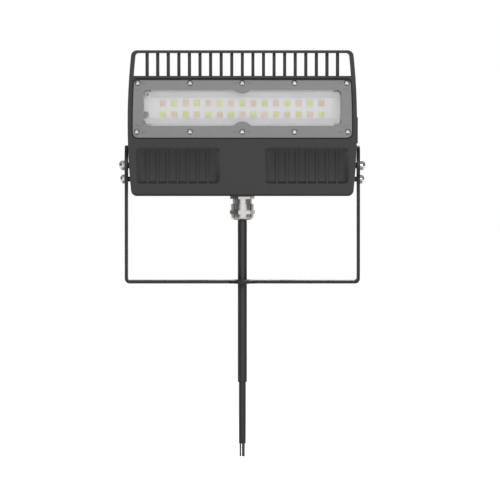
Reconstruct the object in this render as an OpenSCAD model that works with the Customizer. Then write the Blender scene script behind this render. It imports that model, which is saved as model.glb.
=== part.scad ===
// LED floodlight head on a U-shaped yoke, with a cable gland and a short supply cable.
// Millimetres. X runs to the right, the light faces -Y, and Z is up. The origin is the
// centre of the underside of the yoke's base, where the yoke is bolted down.

/* [Head casting] */
// Width of the head where its bowed sides are widest
head_w = 228.5; // [190:0.5:275]
// Radius of the bow in each side
bow_r = 660; // [500:10:900]
// Height of the widest place above the head's bottom
bow_up = 72.5; // [60:0.5:90]
// Height of the driver box
driver_h = 57; // [50:0.5:70]
// Height of the recess for the lens frame
bay_h = 60.5; // [52:0.5:74]
// Thickness of the ledge above the recess
ledge_t = 2.2; // [1.8:0.1:3]
// Height of the open grille
grille_h = 22.6; // [18:0.2:28]
// Thickness of the bar across the top
bar_t = 2.9; // [2.4:0.1:3.6]
// Thickness of the rim at the sides
rim_t = 4; // [3.3:0.1:4.8]
// Depth of the driver box, from its front face to the rear cover's seat
box_d = 46.5; // [42:0.5:56]
// Depth of the heat sink at the foot of the fins, from the front face
fin_d = 42; // [36:0.5:44]
// Depth of the heat sink at the top bar, from the front face
top_d = 30; // [25:0.5:36]
// Outer radius of the upper corners
corner_r = 6; // [5:0.5:7.5]
// Radius along the front edge of the bottom
edge_r = 2.5; // [1:0.5:3]

/* [Fins] */
// Thickness of a fin
fin_t = 3.1; // [2.6:0.1:3.7]
// Distance from fin to fin
fin_pitch = 10.56; // [8.8:0.02:12.7]
// Least open width between the last fin and the rim
fin_end_gap = 5; // [4:0.5:8]
// How far the fins stand back from the front face in the grille
fin_setback = 10; // [6:0.5:14]

/* [Driver box walls] */
// Thickness of the front wall
front_wall = 7.5; // [6.5:0.5:9]
// Thickness of the side walls, which hold the pivot threads
side_wall = 10; // [9:0.5:12]
// Thickness of the floor, which holds the gland thread
floor_t = 6; // [5:0.5:7]
// Thickness of the roof
roof_t = 5; // [4.5:0.5:6]

/* [Ribbed panels] */
// Distance from the middle of the head to a panel's inner end
panel_in = 22.1; // [18:0.5:26]
// Distance from a panel's outer end to the widest line of the head
panel_edge = 8.2; // [7:0.2:12]
// Height of a panel
panel_h = 36; // [28:0.5:42]
// Height of a panel's foot above the head's bottom
panel_up = 12.4; // [10:0.2:16]
// Depth of a panel under its upper slope
panel_deep = 3; // [1.5:0.5:3.5]
// Height of the upper slope
panel_slope = 5.5; // [3:0.5:8]
// Width of the slope at each end of a panel
panel_end = 5; // [2:0.5:6]
// Height of the slope at the foot of a panel
panel_foot = 2.5; // [1:0.5:4]
// Width of a rib
rib_w = 2; // [1.5:0.1:3]
// Distance from rib to rib
rib_pitch = 9.98; // [8:0.02:12]
// Distance from a panel's inner end to its first rib
rib_first = 12.4; // [10:0.2:14]

/* [Lens frame and window] */
// Thickness of the lens frame
frame_t = 3; // [2.5:0.1:3.6]
// How far the frame lies behind the front face
frame_sunk = 0.6; // [0.3:0.1:1]
// Gap between the frame and the rim at the sides
frame_gap_side = 1.1; // [0.6:0.1:1.6]
// Gap under the frame
frame_gap_low = 1.2; // [0.6:0.1:1.6]
// Gap over the frame
frame_gap_high = 2; // [1:0.1:2.4]
// Width of the frame's upper rail
rail_high = 10; // [9.5:0.1:12]
// Width of the frame's lower rail
rail_low = 11.8; // [11.3:0.1:14]
// Distance from the window's end to the widest line of the head
window_in = 15.75; // [15:0.25:20]
// Corner radius of the window
window_r = 4; // [3:0.5:5]
// Radius of the round land about each middle screw
land_r = 10.4; // [9.5:0.1:11]
// Radius of the fillets beside a land
land_fillet = 2.5; // [1.5:0.5:3]
// Thickness of the clear lens
lens_t = 4; // [3.2:0.2:5]
// How far the lens reaches behind the frame on each side of the window
lens_lap = 2.5; // [2:0.1:2.7]
// Thickness of the lens gasket
gasket_t = 1.5; // [1.2:0.1:2]
// Distance from the frame's top edge to the upper screws
screw_high_in = 3; // [2.9:0.1:3.2]
// Distance from the frame's bottom edge to the lower screws
screw_low_in = 5.8; // [5.5:0.1:6.2]
// Distance from the frame's side edge to the corner screws
screw_side_in = 4; // [3.8:0.1:4.3]
// Distance from the middle screws to the next ones
screw_mid_x = 52; // [43:0.5:63]

/* [Lights] */
// Number of lights in a row
led_cols = 15; // [9:1:15]
// Distance from light to light along a row
led_pitch = 11.27; // [9.4:0.01:11.8]
// Distance from row to row
led_row_pitch = 11.3; // [9.4:0.1:12]
// Side of a light's square package
led_w = 7; // [5:0.1:8]
// Height of a light's package
led_t = 1; // [0.7:0.1:1.3]
// How far the rows lie below the middle of the window
led_drop = 0.7; // [0:0.1:1]
// Depth of the reflector tray
reflector_d = 4.9; // [4.2:0.1:6]
// Thickness of the reflector sheet
reflector_t = 1; // [0.8:0.1:1.2]
// Height of the reflector's open floor
reflector_floor = 20.9; // [20:0.1:24]
// Thickness of the light board
board_t = 1.6; // [1.2:0.1:2]
// Thickness of the plate behind the board
plate_t = 5.4; // [4.5:0.1:7]

/* [Yoke] */
// Thickness of the steel strap
strap_t = 3; // [2.5:0.1:3.6]
// Width of the strap
strap_w = 26; // [21:0.5:31]
// Height of the pivot above the underside of the base
pivot_z = 117.7; // [98:0.1:142]
// Height of the pivot above the head's bottom
pivot_up = 30.2; // [28:0.1:34]
// Distance from the front face back to the pivot
pivot_back = 24; // [20:0.5:28]
// Gap between each arm and the head where it is widest
arm_gap = 0.15; // [0.1:0.05:1]
// Inner radius of the strap's bends
bend_r = 2; // [1.5:0.5:4]
// Radius of the round arm ends
eye_r = 20; // [18:0.5:24]
// Distance from the pivot to the lock bolt
lock_r = 13.7; // [12:0.1:15]
// Largest tilt each way, in degrees
tilt_max = 60; // [40:5:65]
// Radius of the round pad in the middle of the base
pad_r = 19; // [17:0.5:22]
// Diameter of the cable hole in the pad
cable_hole_d = 13; // [12:0.5:14]
// Width of the two mounting slots
slot_w = 8.5; // [6.5:0.5:10.5]
// End-to-end length of a mounting slot
slot_l = 20; // [16:0.5:24]
// Distance between the middles of the mounting slots
slot_span = 90; // [75:1:108]

/* [Pivot hardware] */
// Diameter of the pivot bolts
pivot_d = 6; // [5:0.5:6]
// Diameter of a pivot bolt's domed head
pivot_head_d = 10.6; // [9.5:0.1:12]
// Height of a pivot bolt's head
pivot_head_t = 3.3; // [2.8:0.1:4]
// Diameter of the lock bolts
lock_d = 5; // [4:0.5:5]
// Diameter of a lock bolt's pan head
lock_head_d = 9.5; // [8:0.1:10]
// Height of a lock bolt's head
lock_head_t = 3.7; // [3:0.1:4.2]
// Thickness of the flat washers
washer_t = 1.1; // [0.9:0.1:1.4]
// Thickness of the spring washers
spring_t = 1.6; // [1.2:0.1:2]
// Length of bolt thread in the head
thread_l = 8; // [6:0.5:8]
// Gap on the radius between a shank and its hole
run_gap = 0.05; // [0.02:0.01:0.1]

/* [Cable gland] */
// Diameter of the gland's thread
gland_d = 20; // [16:0.5:20]
// Width across the flats of the gland's flange
flange_w = 24.6; // [22:0.1:27]
// Height of the gland's flange
flange_t = 2.4; // [2:0.1:3]
// Thickness of the rubber washer over the flange
seat_t = 0.8; // [0.6:0.1:1.2]
// Diameter of the neck under the flange
neck_d = 19.2; // [18:0.1:21]
// Height of the neck
neck_t = 5.2; // [4:0.1:6]
// Diameter of the nut's barrel
nut_d = 22.5; // [21:0.1:24]
// Height of the nut's barrel
nut_t = 6.2; // [5:0.1:8]
// Width across the flats of the nut's collar
collar_w = 25.1; // [23:0.1:27]
// Turn of the hexagons: a corner's angle from the side
hex_turn = 11; // [8:1:15]
// Height of the nut's collar
collar_t = 3.7; // [3:0.1:5]
// Height of the nut's dome
dome_t = 6; // [5:0.1:7]

/* [Supply cable] */
// Diameter of the outer sleeve
sleeve_d = 9.2; // [8:0.1:9.4]
// Diameter of the jacket
jacket_d = 6.9; // [6:0.1:7.2]
// Diameter of one insulated core
core_d = 1.85; // [1.5:0.05:2]
// Length of bare cores beyond the jacket
core_l = 13.1; // [8:0.1:20]

/* [Hidden] */
$fn = 48;
gap = 0.05;          // slack on the radius of a screw in its hole
slip = 0.3;          // slack round a piece that drops into a pocket
over = 1;            // how far a cut runs past a face

// Heights
head_z = pivot_z - pivot_up;
box_top = head_z + driver_h;
bay_top = box_top + bay_h;
ledge_top = bay_top + ledge_t;
bar_low = ledge_top + grille_h;
head_top = bar_low + bar_t;
bow_z = head_z + bow_up;
bow_x = head_w / 2 - bow_r;             // centre of the right side's bow

// Depths, from the front face back
front_y = -pivot_back;
frame_y = front_y + frame_sunk;
lens_y = frame_y + frame_t;
seal_y = lens_y + lens_t;
tray_y = seal_y + gasket_t;
board_y = tray_y + reflector_d;
bay_floor_y = board_y + board_t;
plate_y = bay_floor_y + plate_t;
box_y = front_y + box_d;
cavity_y = front_y + front_wall;
fin_foot_y = front_y + fin_d;
fin_head_y = front_y + top_d;
fin_front_y = front_y + fin_setback;

// Fins and ribbed panels
fin_side_n = floor((head_w / 2 - rim_t - fin_t / 2 - fin_end_gap) / fin_pitch);
grille_r = corner_r - 2.7;              // upper corners of the grille's opening
back_r = 4;                             // rear edges of the driver box
top_r = 3;                              // rear edge of the top bar
panel_w = head_w / 2 - panel_edge - panel_in;
panel_x = panel_in + panel_w / 2;
panel_low = head_z + panel_up;
panel_high = panel_low + panel_h;
panel_r = 4.5;
rib_sunk = 0.3;                         // how far the ribs lie behind the front face
rib_n = floor((panel_w - rib_first - rib_w) / rib_pitch) + 1;

// Screws: radius, head radius and head height
m3_r = 1.5;
m3_head_r = 2.9;
m3_head_t = 2;
m25_r = 1.25;
board_head_r = 1.9;
board_head_t = 0.7;
m2_r = 1;
m2_head_r = 1.6;
m2_head_t = 0.4;

// Lens frame, window and light rows
frame_low = box_top + frame_gap_low;
frame_high = bay_top - frame_gap_high;
frame_in = rim_t + frame_gap_side;
frame_r = 5;
frame_screw_l = 9;
counterbore = 0.8;
window_low = frame_low + rail_low;
window_high = frame_high - rail_high;
window_z = (window_low + window_high) / 2;
window_h = window_high - window_low;
window_w = head_w - 2 * window_in;
lens_w = window_w + 2 * lens_lap;
lens_h = window_h + 2 * lens_lap;
lens_r = window_r + lens_lap;
led_z = window_z - led_drop;
screw_high_z = frame_high - screw_high_in;
screw_low_z = frame_low + screw_low_in;
corner_high_x = side_x(screw_high_z, frame_in) - screw_side_in;
corner_low_x = side_x(screw_low_z, frame_in) - screw_side_in;
frame_screw_places = [
    for (x = [-corner_high_x, -screw_mid_x, 0, screw_mid_x, corner_high_x]) [x, screw_high_z],
    for (x = [-corner_low_x, -screw_mid_x, 0, screw_mid_x, corner_low_x]) [x, screw_low_z],
];

// Reflector and board
tray_lip = 1.2;
tray_z = window_h / 2 - tray_lip;
tray_end = window_w / 2 - 6.85;         // end of the sloped walls
tray_w = window_w - 1;
floor_z = reflector_floor / 2;          // half height of the open floor
floor_edge = 1.3;                       // width of the wall's foot
board_w = 2 * tray_end;
board_h = window_h - 2.5;
board_screw_x = 85;
board_screw_z = board_h / 2 - 1.9;
board_screw_l = 3.5;                    // below the board
board_screw_places = [for (x = [-board_screw_x, 0, board_screw_x]) for (s = [-1, 1])
    [x, window_z + s * board_screw_z]];
boss_in = 4.2;                          // corner boss, in from the window's corner
boss_r = 3;
boss_sunk = 0.4;
boss_places = [for (x = [-1, 1]) for (s = [-1, 1])
    [x * (window_w / 2 - boss_in), window_z + s * (window_h / 2 - boss_in)]];
screwed_boss = boss_places[1];

// Grommet where the lead enters the tray, and the duct behind it
lead_x = -window_w / 2 + 2.75;
lead_z = window_z - 6.8;
lead_r = 0.75;
tab_l = 4.8;
tab_h = 6;
tab_t = 3.4;
tab_in = 0.35;                          // from the window's end
stem_r = 2.5;
duct_w = 13;
duct_h = 12;
duct_wall = 2.5;
duct_up = 8;                            // above the grommet

// Driver cavity and rear cover
cavity_low = head_z + floor_t;
cavity_high = box_top - roof_t;
lead_high = cavity_high - 2.5;          // the light lead's run under the roof
cavity_r = 5;
cover_t = 2.5;
cover_in = 2;                           // from the box's outline
cover_r = 5;
cover_gasket_t = 1;
gasket_in = cover_in + 1;
field_t = 1.2;                          // raised field on the cover
field_in = 15;
field_r = 4;
cover_seat_y = box_y + cover_gasket_t;
cover_screw_in = 8.5;
cover_screw_l = 8;                      // in the casting
cover_screw_low = head_z + cover_screw_in;
cover_screw_high = box_top - cover_screw_in + 1.5;
cover_screw_mid = 42;
cover_boss_r = 4;
cover_boss_l = 17;
cover_low_x = side_x(cover_screw_low, cover_screw_in);
cover_high_x = side_x(cover_screw_high, cover_screw_in);
cover_screw_places = [
    for (x = [-cover_low_x, -cover_screw_mid, cover_screw_mid, cover_low_x]) [x, cover_screw_low],
    for (x = [-cover_high_x, -cover_screw_mid, cover_screw_mid, cover_high_x]) [x, cover_screw_high],
];

// Driver, with its case open to the back
driver_w = 74;
driver_case_h = 32;
driver_d = 30;
driver_t = 1.5;
driver_flange = 8;                      // length and half height of a screw flange
driver_flange_z = 6;
driver_x = -52;
driver_z = head_z + 30;
driver_lead_y = 2;
driver_screw_l = 4.5;
driver_screw_xs = [for (s = [-1, 1]) driver_x + s * (driver_w + driver_flange) / 2];
driver_in_y = cavity_y + driver_t;
pcb_t = 1.6;
pcb_y = driver_in_y + 2.5;
parts_y = pcb_y + pcb_t;                // face that the driver's components stand on

// Terminal block, surge protector and earth screw
block_x = 32;
block_z = head_z + 36;
block_w = 24;
block_h = 12;
block_d = 14;
pole_pitch = 7.5;
pole_r = 1.6;
core_pitch = 2.1;                       // between the cores in the cable
core_rise = 4;                          // of the cores above the cable's end
core_y = cavity_y + 4;
guard_x = 74;
guard_z = head_z + 30;
guard_w = 30;
guard_h = 24;
guard_d = 22;
ground_x = 50;
ground_z = head_z + 16;
ground_screw_l = 3.8;

// Selector on the right side
sel_y = front_y + 20;
sel_z = box_top + 8.5;
sel_h = 26.3;
sel_w = 16;
sel_t = 2.2;
sel_r = 4;
sel_gasket_t = 0.8;
sel_proud = 1;
sel_seat_x = head_w / 2 + sel_proud - sel_t - sel_gasket_t;
sel_screw_z = sel_h / 2 - 3.2;
sel_screw_l = 6.5;
sel_head_r = 2.2;
sel_head_t = 1.3;
sel_pit_h = 15;
sel_pit_w = 10;
sel_pit_d = 8;
sel_pit_r = 1.5;
slider_w = 2.8;

// Yoke
arm_in = head_w / 2 + arm_gap;
arm_out = arm_in + strap_t;
bend_out = bend_r + strap_t;
flare = 18;                             // slope of the strap's shoulders under an arm's end
lock_z = pivot_z - lock_r;
bolt_end_x = arm_in - thread_l - 2;
grommet_r = 8;
grommet_lip = 0.6;
pivot_washer_r = 5.2;
spring_washer_r = 4.9;
lock_washer_r = 4.6;

// Gland, from the head's bottom down
flange_z = head_z - seat_t;
neck_z = flange_z - flange_t;
nut_z = neck_z - neck_t;
collar_z = nut_z - nut_t;
dome_z = collar_z - collar_t;
mouth_z = dome_z - dome_t;
gland_bore_r = sleeve_d / 2 + 0.2;
neck_in_r = 7.6;
locknut_t = 4;
locknut_w = 24;
thread_end = 1.5;                       // of the gland's thread, past the locknut
seal_r = 7.2;
lip_t = 2.5;                            // wall at the dome's mouth, under the seal
lip_r = 2.6;
dome_r = nut_d / 2 - 0.1;
tail_top = cavity_low + locknut_t + 2;  // end of the cable's sleeve in the driver box

// The cable's route: straight down from the gland's mouth through the hole in the base
cable_start = [0, 0, 63.2];
sleeve_route = [
    cable_start, [0, 0, 55], [0, 0, 45], [0, 0, 35], [0, 0, 25], [0, 0, 15], [0, 0, 5], [0, 0, -5],
    [0, 0, -20], [0, 0, -40], [0, 0, -60], [0, 0, -80], [0, 0, -99],
];
jacket_route = [
    each sleeve_route, [0, 0, -115], [0, 0, -130], [0, 0, -145], [0, 0, -160.6],
];
cable_end = jacket_route[len(jacket_route) - 1];
cable_sides = 12;
sleeve_gap = 0.25;
core_ring_r = 2;
core_angles = [180, 78, -38];

// ---- helpers ----

function arc(c, r, a0, a1, n) =
    [for (i = [0:n]) c + r * [cos(a0 + (a1 - a0) * i / n), sin(a0 + (a1 - a0) * i / n)]];

function inner_points(points) = [for (i = [1:len(points) - 2]) points[i]];

// The right or left half width of the head at a height, moved in by an inset
function side_x(z, inset = 0) = bow_x + sqrt(pow(bow_r - inset, 2) - pow(z - bow_z, 2));

// The head's outline between two heights: bowed sides, moved in, and rounded corners
function bowed_side(z0, z1, inset, r0, r1) =
    let (zl = z0 + r0, zh = z1 - r1,
         xl = side_x(zl, inset + r0), xh = side_x(zh, inset + r1),
         al = atan2(zl - bow_z, xl - bow_x), ah = atan2(zh - bow_z, xh - bow_x))
    concat(arc([xl, zl], r0, -90, al, 5),
           inner_points(arc([bow_x, bow_z], bow_r - inset, al, ah, 12)),
           arc([xh, zh], r1, ah, 90, 5));

function flip_x(points) = [for (i = [len(points) - 1:-1:0]) [-points[i].x, points[i].y]];

module bowed(z0, z1, inset, r0, r1) {
    right = bowed_side(z0, z1, inset, r0, r1);
    polygon(concat(right, flip_x(right)));
}

// A drawing in X and Z, given thickness from y0 back to y1
module along_y(y0, y1) {
    translate([0, y1, 0]) rotate([90, 0, 0]) linear_extrude(y1 - y0) children();
}

// A drawing in Y and Z, given thickness from x0 to x1
module along_x(x0, x1) {
    translate([x0, 0, 0]) rotate([90, 0, 90]) linear_extrude(x1 - x0) children();
}

module rounded(w, h, r) {
    polygon(concat(arc([w / 2 - r, r - h / 2], r, -90, 0, 5), arc([w / 2 - r, h / 2 - r], r, 0, 90, 5),
                   arc([r - w / 2, h / 2 - r], r, 90, 180, 5), arc([r - w / 2, r - h / 2], r, 180, 270, 5)));
}

module box_between(a, b) {
    translate(a) cube(b - a);
}

// A rod along Y, from y0 back to y1
module rod_y(x, z, r, y0, y1) {
    translate([x, y0, z]) rotate([-90, 0, 0]) cylinder(r = r, h = y1 - y0);
}

// A rod along X, from x0 to x1
module rod_x(y, z, r, x0, x1) {
    translate([x0, y, z]) rotate([0, 90, 0]) cylinder(r = r, h = x1 - x0);
}

// A rod along Z, from z0 up to z1
module rod_z(x, y, r, z0, z1) {
    translate([x, y, z0]) cylinder(r = r, h = z1 - z0);
}

module ring(r_out, r_in, h) {
    difference() {
        cylinder(r = r_out, h = h);
        translate([0, 0, -over]) cylinder(r = r_in, h = h + 2 * over);
    }
}

module both_sides() {
    children();
    mirror([1, 0, 0]) children();
}

// A low domed head on the XY plane, standing up +Z, with a cross recess
module cross_head(r, h) {
    crown = (r * r + h * h * 0.49) / (1.4 * h);
    difference() {
        intersection() {
            cylinder(r = r, h = h);
            translate([0, 0, h - crown]) sphere(r = crown);
        }
        for (a = [0, 90])
            rotate([0, 0, a]) translate([-r * 0.55, -r * 0.13, h * 0.45]) cube([r * 1.1, r * 0.26, h]);
    }
}

// A screw whose head stands on the XY plane and whose shank goes down
module cross_screw(r, l, head_r, head_t) {
    cross_head(head_r, head_t);
    translate([0, 0, -l]) cylinder(r = r, h = l + 0.01);
}

// A wire through a list of places, round at its bends
module wire(points, r) {
    for (i = [0:len(points) - 2]) {
        run = points[i + 1] - points[i];
        l = norm(run);
        translate(points[i]) rotate([0, acos(run.z / l), atan2(run.y, run.x)])
            cylinder(r = r, h = l, $fn = 16);
    }
    // a hair fatter than the runs, so that the surfaces cross and don't just touch
    for (i = [1:len(points) - 2]) translate(points[i]) sphere(r = r * 1.04, $fn = 16);
}

// Rings of points about a route that runs straight down, and the tube through them
function tube_ring(p, r) =
    [for (i = [0:cable_sides - 1]) p + r * [cos(360 * i / cable_sides), sin(360 * i / cable_sides), 0]];

function tube_sides(rows, n) =
    [for (k = [0:rows - 2]) for (i = [0:n - 1])
        [k * n + i, k * n + (i + 1) % n, (k + 1) * n + (i + 1) % n, (k + 1) * n + i]];

module tube(route, r) {
    n = cable_sides;
    rows = len(route);
    points = [for (p = route) each tube_ring(p, r)];
    caps = [[for (i = [n - 1:-1:0]) i], [for (i = [0:n - 1]) (rows - 1) * n + i]];
    polyhedron(points, concat(tube_sides(rows, n), caps));
}

// A wall round a route, from an inner radius to an outer one
module hollow_tube(route, r_out, r_in) {
    n = cable_sides;
    rows = len(route);
    inner_start = rows * n;
    points = concat([for (p = route) each tube_ring(p, r_out)], [for (p = route) each tube_ring(p, r_in)]);
    inner = [for (f = tube_sides(rows, n)) [for (i = [3:-1:0]) f[i] + inner_start]];
    top = [for (i = [0:n - 1]) [(i + 1) % n, i, i + inner_start, (i + 1) % n + inner_start]];
    last = (rows - 1) * n;
    bottom = [for (i = [0:n - 1])
        [last + i, last + (i + 1) % n, last + (i + 1) % n + inner_start, last + i + inner_start]];
    polyhedron(points, concat(tube_sides(rows, n), inner, top, bottom));
}

// ---- head casting ----

// The casting seen from the side: a flat front, a box at the foot and a tapered heat sink
module side_profile() {
    polygon(concat(
        arc([front_y + edge_r, head_z + edge_r], edge_r, 270, 180, 4),
        [[front_y, head_top - 1], [front_y + 1, head_top]],
        arc([fin_head_y - top_r, head_top - top_r], top_r, 90, 0, 4),
        [[fin_foot_y, box_top + 3], [fin_foot_y, box_top + back_r / 2]],
        arc([box_y - back_r, box_top - back_r / 2], back_r, 90, 0, 4),
        arc([box_y - back_r, head_z + back_r], back_r, 0, -90, 4)));
}

module head_block() {
    intersection() {
        along_y(front_y, box_y) bowed(head_z, head_top, 0, corner_r, corner_r);
        along_x(-head_w, head_w) side_profile();
    }
}

// Everything open behind the light plate, and right through above the ledge
module fin_space() {
    along_y(plate_y, box_y + over) bowed(box_top, bar_low, rim_t, 2, grille_r);
    along_y(front_y - over, box_y + over) bowed(ledge_top, bar_low, rim_t, 0.5, grille_r);
}

// One fin seen from its side, from the driver box's roof up to the top bar
module fin_outline() {
    intersection() {
        side_profile();
        union() {
            translate([plate_y, box_top]) square([box_d, bar_low - box_top]);
            translate([fin_front_y, ledge_top]) square([box_d, grille_h]);
        }
    }
}

// The closed duct at the back that takes the light lead down to the driver
module lead_duct() {
    box_between([lead_x - duct_w / 2, plate_y - over, box_top - roof_t - over],
                [lead_x + duct_w / 2, plate_y + duct_h, lead_z + duct_up]);
}

module lead_duct_bore() {
    box_between([lead_x - duct_w / 2 + duct_wall, plate_y, cavity_high - over],
                [lead_x + duct_w / 2 - duct_wall, plate_y + duct_h - duct_wall,
                 lead_z + duct_up - duct_wall - 0.5]);
    rod_y(lead_x, lead_z, stem_r + gap, tray_y, plate_y + over);
}

module selector_pod() {
    box_between([sel_seat_x - sel_pit_d - 3, plate_y - over, sel_z - sel_h / 2 - 1],
                [side_x(sel_z + sel_h / 2, 1), sel_y + sel_w / 2 + 3, sel_z + sel_h / 2 + 3]);
}

module selector_pit() {
    along_x(sel_seat_x, head_w) translate([sel_y, sel_z]) rounded(sel_w + slip, sel_h + slip, sel_r);
    along_x(sel_seat_x - sel_pit_d, head_w)
        translate([sel_y, sel_z]) rounded(sel_pit_w, sel_pit_h, sel_pit_r);
    for (s = [-1, 1]) rod_x(sel_y, sel_z + s * sel_screw_z, m25_r + gap, sel_seat_x - sel_screw_l, head_w);
}

// One ribbed panel: a recess with sloped ends, a slope at the top and a short one at the foot
module panel_cut() {
    difference() {
        intersection() {
            along_x(panel_in, panel_in + panel_w)
                polygon([[front_y - over, panel_high], [front_y, panel_high],
                         [front_y + panel_deep, panel_high - panel_slope],
                         [front_y + panel_deep * 0.8, panel_low + panel_foot],
                         [front_y, panel_low], [front_y - over, panel_low]]);
            along_y(front_y - over, front_y + panel_deep + over)
                translate([panel_x, (panel_low + panel_high) / 2]) rounded(panel_w, panel_h, panel_r);
            translate([0, 0, panel_low - over]) linear_extrude(panel_h + 2 * over)
                polygon([[panel_in, front_y - over], [panel_in, front_y],
                         [panel_in + panel_end, front_y + panel_deep],
                         [panel_in + panel_w - panel_end, front_y + panel_deep],
                         [panel_in + panel_w, front_y], [panel_in + panel_w, front_y - over]]);
        }
        for (i = [0:rib_n - 1])
            translate([panel_in + rib_first + i * rib_pitch, 0, 0])
                box_between([-rib_w / 2, front_y + rib_sunk, panel_low - over],
                            [rib_w / 2, cavity_y, panel_high + over]);
    }
}

// The recess for the frame, the seat for the lens, and the pocket for the tray and board
module bay_cut() {
    along_y(front_y - over, lens_y) bowed(box_top, bay_top, rim_t, frame_r + 1, frame_r);
    along_y(front_y, tray_y) translate([0, window_z]) rounded(lens_w + 2 * slip, lens_h + 2 * slip, lens_r);
    along_y(front_y, bay_floor_y)
        translate([0, window_z]) rounded(window_w + slip, window_h + slip, window_r + slip);
    for (p = frame_screw_places)
        rod_y(p.x, p.y, m3_r + gap, front_y, frame_y + counterbore + frame_screw_l + 1);
    for (p = board_screw_places) rod_y(p.x, p.y, m25_r + gap, front_y, bay_floor_y + board_screw_l + 0.5);
}

module cover_bosses() {
    for (p = cover_screw_places)
        intersection() {
            rod_y(p.x, p.y, cover_boss_r, box_y - cover_boss_l, box_y);
            along_y(cavity_y, box_y) bowed(head_z + 1, box_top - 1, 1, 3, 3);
        }
}

module driver_cavity() {
    difference() {
        along_y(cavity_y, box_y + over) bowed(cavity_low, cavity_high, side_wall, cavity_r, cavity_r);
        cover_bosses();
    }
}

module side_holes() {
    both_sides() {
        rod_x(0, pivot_z, pivot_d / 2 + gap, bolt_end_x - 1, head_w);
        rod_x(0, lock_z, lock_d / 2 + gap, bolt_end_x - 1, head_w);
    }
}

module housing() color([0.26, 0.255, 0.26]) {
    difference() {
        union() {
            difference() {
                head_block();
                fin_space();
            }
            lead_duct();
            selector_pod();
        }
        bay_cut();
        driver_cavity();
        lead_duct_bore();
        selector_pit();
        panel_cut();
        mirror([1, 0, 0]) panel_cut();
        side_holes();
        translate([0, 0, head_z - over]) cylinder(r = gland_d / 2 + gap, h = floor_t + 2 * over);
        for (p = cover_screw_places) rod_y(p.x, p.y, m3_r + gap, box_y - 10, box_y + over);
        rod_y(ground_x, ground_z, m3_r + gap, cavity_y - ground_screw_l - 0.2, cavity_y + over);
        for (x = driver_screw_xs)
            rod_y(x, driver_z, m3_r + gap, driver_in_y - driver_screw_l - 1, cavity_y + over);
    }
}

// The fins of the casting, each on its own because the spaces between them are open
module cooling_fins() color([0.24, 0.235, 0.24]) {
    difference() {
        for (i = [-fin_side_n:fin_side_n])
            along_x(i * fin_pitch - fin_t / 2, i * fin_pitch + fin_t / 2) fin_outline();
        lead_duct();
        selector_pod();
    }
}

// ---- light window ----

// One long edge of the window, with the land about the middle screw, from left to right
function land_edge(edge_z, screw_z) =
    let (up = screw_z > edge_z ? 1 : -1,
         d = abs(screw_z - edge_z),
         fx = sqrt(pow(land_r + land_fillet, 2) - pow(d + land_fillet, 2)),
         a = atan2(d + land_fillet, fx))
    concat([for (p = arc([-fx, -land_fillet], land_fillet, 90, a, 4)) [p.x, edge_z + up * p.y]],
           [for (p = inner_points(arc([0, d], land_r, 180 + a, 360 - a, 10))) [p.x, edge_z + up * p.y]],
           [for (p = arc([fx, -land_fillet], land_fillet, 180 - a, 90, 4)) [p.x, edge_z + up * p.y]]);

function reversed(points) = [for (i = [len(points) - 1:-1:0]) points[i]];

function window_outline() =
    let (x = window_w / 2 - window_r, zh = window_high - window_r, zl = window_low + window_r)
    concat(arc([-x, zh], window_r, 180, 90, 5), land_edge(window_high, screw_high_z),
           arc([x, zh], window_r, 90, 0, 5), arc([x, zl], window_r, 0, -90, 5),
           reversed(land_edge(window_low, screw_low_z)), arc([-x, zl], window_r, 270, 180, 5));

module lens_frame() color([0.53, 0.53, 0.535]) {
    difference() {
        along_y(frame_y, lens_y) bowed(frame_low, frame_high, frame_in, frame_r, frame_r - 1);
        along_y(frame_y - over, lens_y + over) polygon(window_outline());
        for (p = frame_screw_places) {
            rod_y(p.x, p.y, m3_r + gap, frame_y - over, lens_y + over);
            rod_y(p.x, p.y, m3_head_r, frame_y - over, frame_y + counterbore);
        }
    }
}

module frame_screws() color([0.8, 0.8, 0.82]) {
    for (p = frame_screw_places)
        translate([p.x, frame_y + counterbore, p.y]) rotate([90, 0, 0])
            cross_screw(m3_r, frame_screw_l, m3_head_r - 0.1, m3_head_t + counterbore);
}

module lens() color([0.9, 0.93, 0.95, 0.35]) {
    along_y(lens_y, seal_y) translate([0, window_z]) rounded(lens_w, lens_h, lens_r);
}

module lens_gasket() color([0.15, 0.15, 0.15]) {
    along_y(seal_y, tray_y) translate([0, window_z]) difference() {
        rounded(lens_w, lens_h, lens_r);
        rounded(window_w + slip, window_h + slip, window_r + slip);
    }
}

// A sheet tray: sloped long walls, an open floor over the board, and flat ends with bosses
module reflector() color([0.88, 0.88, 0.88]) {
    difference() {
        union() {
            for (s = [-1, 1])
                along_x(-tray_end, tray_end)
                    polygon([for (p = [[board_y, floor_z], [board_y - reflector_t, floor_z],
                                       [tray_y, tray_z - 1], [tray_y, window_h / 2],
                                       [tray_y + reflector_t, window_h / 2],
                                       [tray_y + reflector_t, tray_z],
                                       [board_y, floor_z + floor_edge]])
                        [p.x, window_z + s * p.y]]);
            both_sides()
                intersection() {
                    box_between([tray_end - 0.01, board_y - reflector_t, window_z - window_h / 2],
                                [tray_w / 2, board_y, window_z + window_h / 2]);
                    along_y(board_y - reflector_t, board_y)
                        translate([0, window_z]) rounded(tray_w, window_h, window_r);
                }
            for (p = boss_places) rod_y(p.x, p.y, boss_r, tray_y + boss_sunk, board_y);
        }
        tab_shape(slip / 2, board_y - reflector_t - over, board_y + over);
        rod_y(screwed_boss.x, screwed_boss.y, m2_r + gap, tray_y - over, board_y + over);
    }
}

module reflector_screw() color([0.25, 0.25, 0.25]) {
    translate([screwed_boss.x, tray_y + boss_sunk, screwed_boss.y]) rotate([90, 0, 0])
        cross_screw(m2_r, reflector_d - boss_sunk - 0.2, m2_head_r, m2_head_t);
}

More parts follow.
